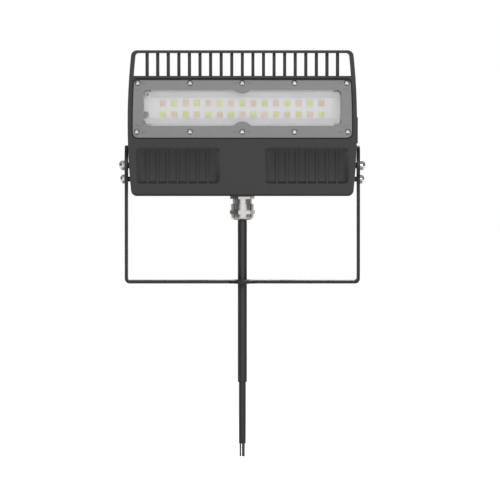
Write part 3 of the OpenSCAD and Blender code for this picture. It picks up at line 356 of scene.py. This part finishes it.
def levels(top, bottom):
    """Heights of the rings, close together above the yoke and wide apart below it."""
    n = round((top - bend_end[2]) / BEND_STEP)
    close = [top + (bend_end[2] - top) * i / n for i in range(n + 1)]
    far = round((bend_end[2] - bottom) / (8 * MM))
    return close + [bend_end[2] + (bottom - bend_end[2]) * i / far for i in range(1, far + 1)]


jacket_lip = 0.5 * MM
jacket_rings = levels(mouth[2], jacket_end + jacket_lip)
profile = [(0, mouth[2])] + [(jacket_r, z) for z in jacket_rings]
profile += round_corner(jacket_r - jacket_lip, jacket_end + jacket_lip, jacket_lip, 0, -90)[1:]
profile += [(0, jacket_end)]
jacket = new_piece("cable_jacket", lathe(profile, CABLE_SIDES), jacket_rubber, None,
                   "cable_black", "supply_cable")

sleeve_lip = 0.4 * MM
sleeve_bore = jacket_r + 0.2 * MM
sleeve_rings = levels(mouth[2], sleeve_low.z + sleeve_lip)
profile = [(sleeve_bore, mouth[2])] + [(sleeve_r, z) for z in sleeve_rings]
profile += round_corner(sleeve_r - sleeve_lip, sleeve_low.z + sleeve_lip, sleeve_lip, 0, -90)[1:]
profile += [(sleeve_bore, z) for z in [sleeve_low.z] + sleeve_rings[:0:-1]]
sleeve = new_piece("sleeve_over_cable", lathe(profile, CABLE_SIDES, closed=True),
                   sleeve_rubber, None, "sleeve_black", "cable_sleeve")

# %% [markdown]
# The three cores are cut square, and the end of each shows a bundle of copper strands
# inside its insulation. Their thickness and the height of their ends come from the frame's
# core node, and their places round the middle are listed.

# %% Cores
CORE_ANGLES = (180, 78, -38)
CORE_RING = 2.0 * MM
cores_low, cores_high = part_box("core_wires")
core_r = -cores_low.x - CORE_RING
core_end = cores_low.z
cores = bmesh.new()
strands = bmesh.new()
for angle in CORE_ANGLES:
    place = Matrix.Translation((CORE_RING * math.cos(math.radians(angle)),
                                CORE_RING * math.sin(math.radians(angle)), 0))
    edge = 0.15 * MM
    profile = [(0, jacket_end + 1 * MM), (core_r, jacket_end + 1 * MM), (core_r, core_end + edge)]
    profile += round_corner(core_r - edge, core_end + edge, edge, 0, -90, 3)[1:]
    profile += [(core_r * 0.62, core_end), (core_r * 0.6, core_end + 0.3 * MM),
                (0, core_end + 0.3 * MM)]
    one = lathe(profile, 24)
    one.transform(place)
    mesh = bpy.data.meshes.new("one_core")
    one.to_mesh(mesh)
    cores.from_mesh(mesh)
    for k in range(7):
        turn = math.radians(60 * k)
        off = core_r * 0.38 if k < 6 else 0
        spot = place @ Matrix.Translation((off * math.cos(turn), off * math.sin(turn),
                                           core_end + 1.1 * MM))
        bmesh.ops.create_cone(strands, cap_ends=True, segments=12, radius1=core_r * 0.2,
                              radius2=core_r * 0.2, depth=2 * MM, matrix=spot)
core_piece = new_piece("cable_cores", cores, core_plastic, "bracket", "core_black", "core_wires")
strand_piece = new_piece("copper_strand_ends", strands, copper, "bracket", "copper_coil")

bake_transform(jacket)
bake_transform(sleeve)

# %% [markdown]
# ## Head casting
# The head is one aluminium die casting: a driver box with two ribbed panels, a recess for the
# lens frame, and a heat sink whose fins run up to an open grille. Its shape is already right
# in the frame, so the copy only gets the small radii of a casting on its edges.

# %% Casting
casting_bm = cad_copy("housing")
fins_bm = cad_copy("cooling_fins")
print("casting edges rounded:", soften(casting_bm, 0.45 * MM))
print("fin edges rounded:", soften(fins_bm, 0.35 * MM))
casting = new_piece("head_casting", casting_bm, powder_coat, "head", "powder_grey", "housing")
fins = new_piece("heat_sink_fins", fins_bm, powder_coat, "head", "powder_grey", "cooling_fins")
weigh_normals(casting)
weigh_normals(fins)
from_cad("back_cover", "rear_cover", 0.5 * MM, powder_coat, "head", "powder_grey")
from_cad("switch_cover", "selector_cover", 0.45 * MM, powder_coat, "head", "powder_grey")

# %% [markdown]
# ## Lens frame
# The frame is pressed from sheet and painted a satin grey. Next to its corner and middle
# screws the press left shallow raised pads, which catch the light as soft streaks. They could
# be painted on, but low domes pressed into the same mesh also work from the side.

# %% Lens frame
PAD_RISE = 0.45 * MM
frame_low, frame_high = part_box("lens_frame")
screw_low, screw_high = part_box("frame_screws")
screw_head = 2.8 * MM
upper_screws_z = screw_high.z - screw_head
lower_screws_z = screw_low.z + screw_head
corner_x = screw_high.x - screw_head - 0.3 * MM
frame_bm = cad_copy("lens_frame")
print("frame edges rounded:", soften(frame_bm, 0.4 * MM))


def press_pad(bm, x, z, length, height, turn):
    """A low oval dome on the frame's face."""
    place = Matrix.Translation((x, frame_low.y, z)) @ Matrix.Rotation(turn, 4, "Y")
    place = place @ Matrix.Diagonal((length / 2, PAD_RISE, height / 2, 1))
    bmesh.ops.create_uvsphere(bm, u_segments=20, v_segments=12, radius=1, matrix=place)


for side in (-1, 1):
    for z, down in ((upper_screws_z, 1), (lower_screws_z, -1)):
        press_pad(frame_bm, side * (corner_x - 6.6 * MM), z + down * 0.3 * MM, 4 * MM, 2 * MM, 0)
        press_pad(frame_bm, side * (corner_x - 1.5 * MM), z - down * 6.2 * MM, 7 * MM, 1.8 * MM,
                  side * down * math.radians(14))
        press_pad(frame_bm, side * 6.8 * MM, z + down * 0.2 * MM, 4 * MM, 2 * MM, 0)
window_frame = new_piece("window_frame", frame_bm, frame_paint, "head", "frame_grey", "lens_frame")
weigh_normals(window_frame)

# %% [markdown]
# ## Screws and bolts
# Ten pan heads hold the frame and eight the back cover. Two domed bolts a side carry the
# head: the upper one is the pivot and the lower one travels in the arm's curved slot. The
# heads are bright, and the edges of their cross recess are slightly broken. Modelled threads
# would not be seen at this size, so a ribbed finish stands for them, painted dark as shade
# for their grooves and the narrow gap.

# %% Screws and bolts
from_cad("frame_pan_screws", "frame_screws", 0.14 * MM, stainless, "head", "stainless")
from_cad("cover_pan_screws", "rear_cover_screws", 0.14 * MM, stainless, "head", "stainless")
from_cad("switch_cover_screws", "selector_screws", 0.12 * MM, stainless, "head", "stainless")
tilt_bolts = from_cad("tilt_bolts", "pivot_bolts", 0.3 * MM, stainless, "head", "stainless")
from_cad("tilt_bolt_spring_washers", "pivot_spring_washers", 0.25 * MM, stainless, "head", "stainless")
from_cad("tilt_bolt_washers", "pivot_washers", 0.25 * MM, stainless, "head", "stainless")
locking_bolts = from_cad("locking_bolts", "lock_bolts", 0.2 * MM, stainless, "head", "stainless")
from_cad("locking_bolt_washers", "lock_washers", 0.25 * MM, stainless, "head", "stainless")

# Painted shade: the shanks between the yoke's arms and the head are dark, for the shade in their
# grooves and the gap
thread_painted_shade = finish("thread_painted_shade", (0.1, 0.1, 0.1), 0.5, metallic=0.7,
                      stretch=(1, 0.1, 0.1), grain=1300, grain_depth=0.08)
arm_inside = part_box("yoke")[1].x - 3 * MM
for piece in (tilt_bolts, locking_bolts):
    piece.data.materials.append(thread_painted_shade)
    for face in piece.data.polygons:
        if abs(face.center.x) < arm_inside:
            face.material_index = 1

# %% [markdown]
# ## Light window
# Behind the clear lens lies a white tray with sloped walls, and on the board in it two rows
# of light packages. A package is a white moulded square with a pocket, filled with phosphor:
# beige in the warm ones and yellow-green in the cool ones. The phosphor is a slightly domed
# grid with its own UV map, so its colour can fade towards the pocket's rim.

# %% Tray, board and seals
from_cad("reflector_tray", "reflector", 0.18 * MM, reflector_white, "head", "white_tray")
from_cad("lead_seal", "lead_grommet", 0.3 * MM, grey_rubber, "head", "grey_rubber")

board_paint = finish("board_white", (0.64, 0.625, 0.64), 0.4, tone=0.035, tone_scale=90,
                     grain=1500, grain_depth=0.004)
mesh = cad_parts["led_board"].data
mesh.materials.clear()
mesh.materials.append(board_paint)


# %% [markdown]
# The tray's outer edge is turned up towards the lens and lines the whole pocket, which keeps
# the window bright up to its rim. A box with four rounded edges and no ends makes it.

# %% Tray wall
lens_low, lens_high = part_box("lens")
tray_low, tray_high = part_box("reflector")
WALL_T = 0.3 * MM
WALL_CORNER = 4.2 * MM
WALL_GROW = Vector((0.6, 0, 0.12)) * MM
wall_low = tray_low - WALL_GROW
wall_high = tray_high + WALL_GROW
wall_low.y = lens_high.y + 0.15 * MM
wall_high.y = tray_high.y - 0.1 * MM
size = wall_high - wall_low
wall = bmesh.new()
bmesh.ops.create_cube(wall, size=1, matrix=Matrix.Translation((wall_low + wall_high) / 2)
                      @ Matrix.Diagonal((*size, 1)))
along = [e for e in wall.edges if abs((e.verts[0].co - e.verts[1].co).y) > size.y * 0.9]
bmesh.ops.bevel(wall, geom=along, offset=WALL_CORNER, offset_type="OFFSET", segments=8,
                affect="EDGES", profile=0.5, material=-1)
ends = [f for f in wall.faces if abs(f.normal.y) > 0.9]
bmesh.ops.delete(wall, geom=ends, context="FACES_ONLY")
bmesh.ops.recalc_face_normals(wall, faces=wall.faces[:])
bmesh.ops.solidify(wall, geom=wall.faces[:], thickness=WALL_T)
bmesh.ops.recalc_face_normals(wall, faces=wall.faces[:])
print("tray wall reaches", round(max(v.co.x for v in wall.verts) / MM, 2), "mm")
new_piece("tray_outer_wall", wall, reflector_white, "head", "white_tray")

# %% Phosphor finish
def phosphor(name, colour, rim):
    """Phosphor that is full in the middle of its pocket and pale at the rim."""
    material = finish(name, colour, 0.42, grain=2600, grain_depth=0.01, tone=0.1,
                      tone_scale=110)
    tree = material.node_tree
    shader = tree.nodes["Principled BSDF"]
    tinted = shader.inputs["Base Color"].links[0].from_socket
    uv = add_node(tree, "ShaderNodeUVMap", uv_map="pocket")
    centred = add_node(tree, "ShaderNodeMapping", Location=(-0.5, -0.5, 0))
    tree.links.new(uv.outputs["UV"], centred.inputs["Vector"])
    away = add_node(tree, "ShaderNodeVectorMath", operation="ABSOLUTE")
    tree.links.new(centred.outputs["Vector"], away.inputs[0])
    sides = add_node(tree, "ShaderNodeSeparateXYZ")
    tree.links.new(away.outputs["Vector"], sides.inputs[0])
    reach = add_node(tree, "ShaderNodeMath", operation="SMOOTH_MAX")
    reach.inputs[2].default_value = 0.12
    tree.links.new(sides.outputs["X"], reach.inputs[0])
    tree.links.new(sides.outputs["Y"], reach.inputs[1])
    fade = add_node(tree, "ShaderNodeMapRange", interpolation_type="SMOOTHSTEP")
    fade.inputs["From Min"].default_value = 0.42
    fade.inputs["From Max"].default_value = 0.58
    tree.links.new(reach.outputs["Value"], fade.inputs["Value"])
    mix = add_node(tree, "ShaderNodeMix", data_type="RGBA")
    mix.inputs[7].default_value = (*rim, 1)
    tree.links.new(fade.outputs["Result"], mix.inputs[0])
    tree.links.new(tinted, mix.inputs[6])
    tree.links.new(mix.outputs[2], shader.inputs["Base Color"])
    return material


# %% Light packages
ROWS = 2
cool_low, cool_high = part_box("leds_cool")
warm_low, warm_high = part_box("leds_warm")
lights_low = Vector(map(min, cool_low, warm_low))
lights_high = Vector(map(max, cool_high, warm_high))
COLUMNS = 15
package_w = 7 * MM
package_t = lights_high.y - lights_low.y
column_pitch = (lights_high.x - lights_low.x - package_w) / (COLUMNS - 1)
row_pitch = lights_high.z - lights_low.z - package_w
pocket_w = package_w * 0.93
pocket_deep = 0.2 * MM
packages = bmesh.new()
pads = bmesh.new()
fills = {0: bmesh.new(), 1: bmesh.new()}
for bm in fills.values():
    bm.loops.layers.uv.new("pocket")
FACING = Matrix.Rotation(math.radians(90), 4, "X")


def add_package(x, z, kind):
    """One package: a softened square with an inset pocket, its fill and its solder pad."""
    centre = Matrix.Translation((x, lights_high.y - package_t / 2, z))
    size = Matrix.Diagonal((package_w, package_t, package_w, 1))
    made = bmesh.ops.create_cube(packages, size=1, matrix=centre @ size)["verts"]
    front = [f for f in {f for v in made for f in v.link_faces} if f.normal.y < -0.9]
    bmesh.ops.inset_region(packages, faces=front, thickness=(package_w - pocket_w) / 2,
                           depth=0, use_even_offset=True)
    bmesh.ops.inset_region(packages, faces=front, thickness=0.25 * MM, depth=-pocket_deep,
                           use_even_offset=True)
    face = Matrix.Translation((x, lights_low.y + pocket_deep * 0.8, z)) @ FACING
    bm = fills[kind]
    grid = bmesh.ops.create_grid(bm, x_segments=8, y_segments=8, size=pocket_w / 2 - 0.1 * MM,
                                 matrix=face, calc_uvs=True)["verts"]
    for v in grid:
        across = max(abs(v.co.x - x), abs(v.co.z - z)) / (pocket_w / 2)
        v.co.y -= 0.3 * MM * (1 - across ** 2)
    pad = Matrix.Translation((x, lights_high.y - 0.15 * MM, z - package_w / 2 - 0.25 * MM))
    size = Matrix.Diagonal((package_w * 0.8, 0.3 * MM, 0.6 * MM, 1))
    bmesh.ops.create_cube(pads, size=1, matrix=pad @ size)


for row in range(ROWS):
    for column in range(COLUMNS):
        add_package(lights_low.x + package_w / 2 + column * column_pitch,
                    lights_high.z - package_w / 2 - row * row_pitch, (row + column) % 2)
for bm in (packages, pads):
    bmesh.ops.recalc_face_normals(bm, faces=bm.faces[:])
warm_fill = phosphor("phosphor_warm", (0.6, 0.47, 0.365), (0.62, 0.58, 0.54))
cool_fill = phosphor("phosphor_cool", (0.545, 0.56, 0.25), (0.61, 0.62, 0.52))
package_piece = new_piece("light_packages", packages, package_white, "head", "board_white")
new_piece("light_fill_warm", fills[0], warm_fill, "head", "led_warm", "leds_warm")
new_piece("light_fill_cool", fills[1], cool_fill, "head", "led_cool", "leds_cool")
new_piece("light_solder_pads", pads, solder, "head", "stainless")
rounding = package_piece.modifiers.new("moulded_edges", "BEVEL")
rounding.width = 0.15 * MM
rounding.segments = 2
rounding.limit_method = "ANGLE"

# %% [markdown]
# ## Lens
# The lens is clear polycarbonate. A refracting pane would cast a dark shadow on the tray with
# no caustics to light it, so the material lets most of the light straight through and keeps
# only the gloss of its surface.

# %% Lens
clear = bpy.data.materials.new("clear_polycarbonate")
clear.use_nodes = True
glass = clear.node_tree.nodes["Principled BSDF"]
glass.inputs["Base Color"].default_value = (0.7, 0.74, 0.75, 1)
glass.inputs["Roughness"].default_value = 0.05
glass.inputs["Alpha"].default_value = 0.06
glass.inputs["Coat Weight"].default_value = 0.3
waviness = add_node(clear.node_tree, "ShaderNodeTexCoord")
ripple = noise(clear.node_tree, waviness.outputs["Object"], 18)
clear.node_tree.links.new(bump(clear.node_tree, ripple, 0.05 * MM, 0.2), glass.inputs["Normal"])
from_cad("clear_lens", "lens", 0.3 * MM, clear, "head", "clear_lens")

# %% [markdown]
# ## Gland
# The gland is nickel-plated brass: a hexagonal flange against the casting, a neck, and the
# nut with a collar for the spanner and a dome that closes on the cable.

# %% Gland
from_cad("gland_flange_and_neck", "gland_body", 0.3 * MM, nickel, "head", "nickel")
from_cad("gland_dome_nut", "gland_nut", 0.3 * MM, nickel, "head", "nickel")

# %% [markdown]
# ## Yoke
# The yoke is a 3 mm steel strap, laser cut, bent into a U and powder coated. Only the coat
# rounds its edges. The grommet in its middle is soft rubber with a rounded flange on each
# side, which a spun profile makes best.

# %% Yoke and grommet
from_cad("yoke_strap", "yoke", 0.5 * MM, yoke_coat, "bracket", "yoke_black")
grommet_low, grommet_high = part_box("yoke_grommet")
flange_t = 0.6 * MM
bore = sleeve_r + 0.1 * MM
hole_r = 6.45 * MM
lip = flange_t * 0.45
profile = [(bore, grommet_low.z + lip), (bore + lip, grommet_low.z)]
profile += round_corner(grommet_high.x - lip, grommet_low.z + lip, lip, -90, 0)
profile += [(grommet_high.x, grommet_low.z + flange_t), (hole_r, grommet_low.z + flange_t),
            (hole_r, grommet_high.z - flange_t), (grommet_high.x, grommet_high.z - flange_t)]
profile += round_corner(grommet_high.x - lip, grommet_high.z - lip, lip, 0, 90)
profile += [(bore + lip, grommet_high.z), (bore, grommet_high.z - lip)]
new_piece("yoke_hole_grommet", lathe(profile, 48, closed=True), black_rubber, "bracket",
          "black_rubber", "yoke_grommet")

# %% [markdown]
# ## Studio
# A plain pale floor lies below the hanging cable. The light is a soft studio: bright from
# above, with broad light panels and dark gaps round the horizon. On a matt casting this is
# only even light, but the gland and the screws mirror the gaps, and that gives metal its
# contrast. Right below the lamp the floor has a painted shadow, a darker pool in its colour
# and its glow, which also dims what the metal mirrors of it.

# %% Floor
FLOOR_DROP = 0.13
FLOOR_HALF = 7
FLOOR_GLOW = 0.55
SHADOW_POOL_IN = 0.1
SHADOW_POOL_OUT = 1.15
bm = bmesh.new()
bmesh.ops.create_grid(bm, x_segments=1, y_segments=1, size=FLOOR_HALF,
                      matrix=Matrix.Translation((0, FLOOR_HALF - 1.6, cad_low.z - FLOOR_DROP)))
mesh = bpy.data.meshes.new("floor")
bm.to_mesh(mesh)
bm.free()
floor = bpy.data.objects.new("floor", mesh)
bpy.context.scene.collection.objects.link(floor)
paper = finish("floor_paper", (0.9, 0.9, 0.9), 0.8, tone=0.01, grain=200)
tree = paper.node_tree
paper_shader = tree.nodes["Principled BSDF"]
paper_shader.inputs["Emission Color"].default_value = (1, 1, 1, 1)
# Painted shadow: in a disc right below the lamp the floor's colour is darker and its glow weaker
reach = add_node(tree, "ShaderNodeVectorMath", operation="LENGTH")
tree.links.new(add_node(tree, "ShaderNodeTexCoord").outputs["Object"], reach.inputs[0])
painted_shadow_pool = add_node(tree, "ShaderNodeMapRange", interpolation_type="SMOOTHSTEP")
painted_shadow_pool.inputs["From Min"].default_value = SHADOW_POOL_IN
painted_shadow_pool.inputs["From Max"].default_value = SHADOW_POOL_OUT
tree.links.new(reach.outputs["Value"], painted_shadow_pool.inputs["Value"])
shade = add_node(tree, "ShaderNodeMix", data_type="RGBA")
shade.inputs[6].default_value = (0.38, 0.38, 0.38, 1)
tree.links.new(painted_shadow_pool.outputs["Result"], shade.inputs[0])
tree.links.new(paper_shader.inputs["Base Color"].links[0].from_socket, shade.inputs[7])
tree.links.new(shade.outputs[2], paper_shader.inputs["Base Color"])
glow = add_node(tree, "ShaderNodeMath", operation="MULTIPLY")
glow.inputs[1].default_value = FLOOR_GLOW
tree.links.new(painted_shadow_pool.outputs["Result"], glow.inputs[0])
tree.links.new(glow.outputs[0], paper_shader.inputs["Emission Strength"])
mesh.materials.append(paper)

# %% Surroundings
world = bpy.data.worlds.new("studio")
bpy.context.scene.world = world
world.use_nodes = True
tree = world.node_tree
tree.nodes.clear()
direction = add_node(tree, "ShaderNodeSeparateXYZ")
tree.links.new(add_node(tree, "ShaderNodeTexCoord").outputs["Generated"], direction.inputs[0])
forward = add_node(tree, "ShaderNodeMath", operation="MULTIPLY")
forward.inputs[1].default_value = -1
tree.links.new(direction.outputs["Y"], forward.inputs[0])
azimuth = add_node(tree, "ShaderNodeMath", operation="ARCTAN2")
tree.links.new(direction.outputs["X"], azimuth.inputs[0])
tree.links.new(forward.outputs[0], azimuth.inputs[1])
around = add_node(tree, "ShaderNodeMapRange")
around.inputs["From Min"].default_value = -math.pi
around.inputs["From Max"].default_value = math.pi
tree.links.new(azimuth.outputs[0], around.inputs["Value"])
panels = add_node(tree, "ShaderNodeValToRGB")
# Light level round the horizon: (degrees from the front, level)
PANELS = [(-180, 0.3), (-150, 0.1), (-110, 0.35), (-90, 0.08), (-36, 0.06), (-18, 1.25), (28, 1.35),
          (50, 0.08), (104, 0.1), (118, 0.35), (150, 0.6), (165, 0.5), (180, 0.3)]
ramp = panels.color_ramp
for i, (degrees, level) in enumerate(PANELS):
    at = (degrees + 180) / 360
    stop = ramp.elements[i] if i < 2 else ramp.elements.new(at)
    stop.position = at
    stop.color = (level / 2, level / 2, level / 2, 1)
tree.links.new(around.outputs["Result"], panels.inputs["Fac"])
ring_light = add_node(tree, "ShaderNodeBackground", Strength=2.0)
tree.links.new(panels.outputs["Color"], ring_light.inputs["Color"])
sky_light = add_node(tree, "ShaderNodeBackground", Color=(1, 1, 1, 1), Strength=0.6)
height = add_node(tree, "ShaderNodeMapRange", interpolation_type="SMOOTHSTEP")
height.inputs["From Min"].default_value = 0.3
height.inputs["From Max"].default_value = 0.6
tree.links.new(direction.outputs["Z"], height.inputs["Value"])
surroundings = add_node(tree, "ShaderNodeMixShader")
tree.links.new(height.outputs["Result"], surroundings.inputs[0])
tree.links.new(ring_light.outputs[0], surroundings.inputs[1])
tree.links.new(sky_light.outputs[0], surroundings.inputs[2])
seen = add_node(tree, "ShaderNodeLightPath")
backdrop = add_node(tree, "ShaderNodeBackground", Color=(1, 1, 1, 1), Strength=1.0)
choose = add_node(tree, "ShaderNodeMixShader")
tree.links.new(seen.outputs["Is Camera Ray"], choose.inputs[0])
tree.links.new(surroundings.outputs[0], choose.inputs[1])
tree.links.new(backdrop.outputs[0], choose.inputs[2])
tree.links.new(choose.outputs[0], add_node(tree, "ShaderNodeOutputWorld").inputs["Surface"])


# %% Softboxes
def softbox(name, place, size, power):
    """A square area light that looks at the head and isn't seen itself."""
    data = bpy.data.lights.new(name, "AREA")
    data.size = size
    data.energy = power
    light = bpy.data.objects.new(name, data)
    light.location = place
    light.rotation_euler = aim_from(Vector(place), Vector((0, 0, 0.12)))
    light.visible_camera = False
    bpy.context.scene.collection.objects.link(light)


softbox("front", (0.3, -2.9, 0.95), 0.6, 20)
softbox("key", (-0.9, -1.5, 1.5), 1.0, 5)
softbox("fill", (1.3, -1.4, 0.7), 0.8, 3)
softbox("behind", (0.5, 2.2, 1.1), 0.8, 24)
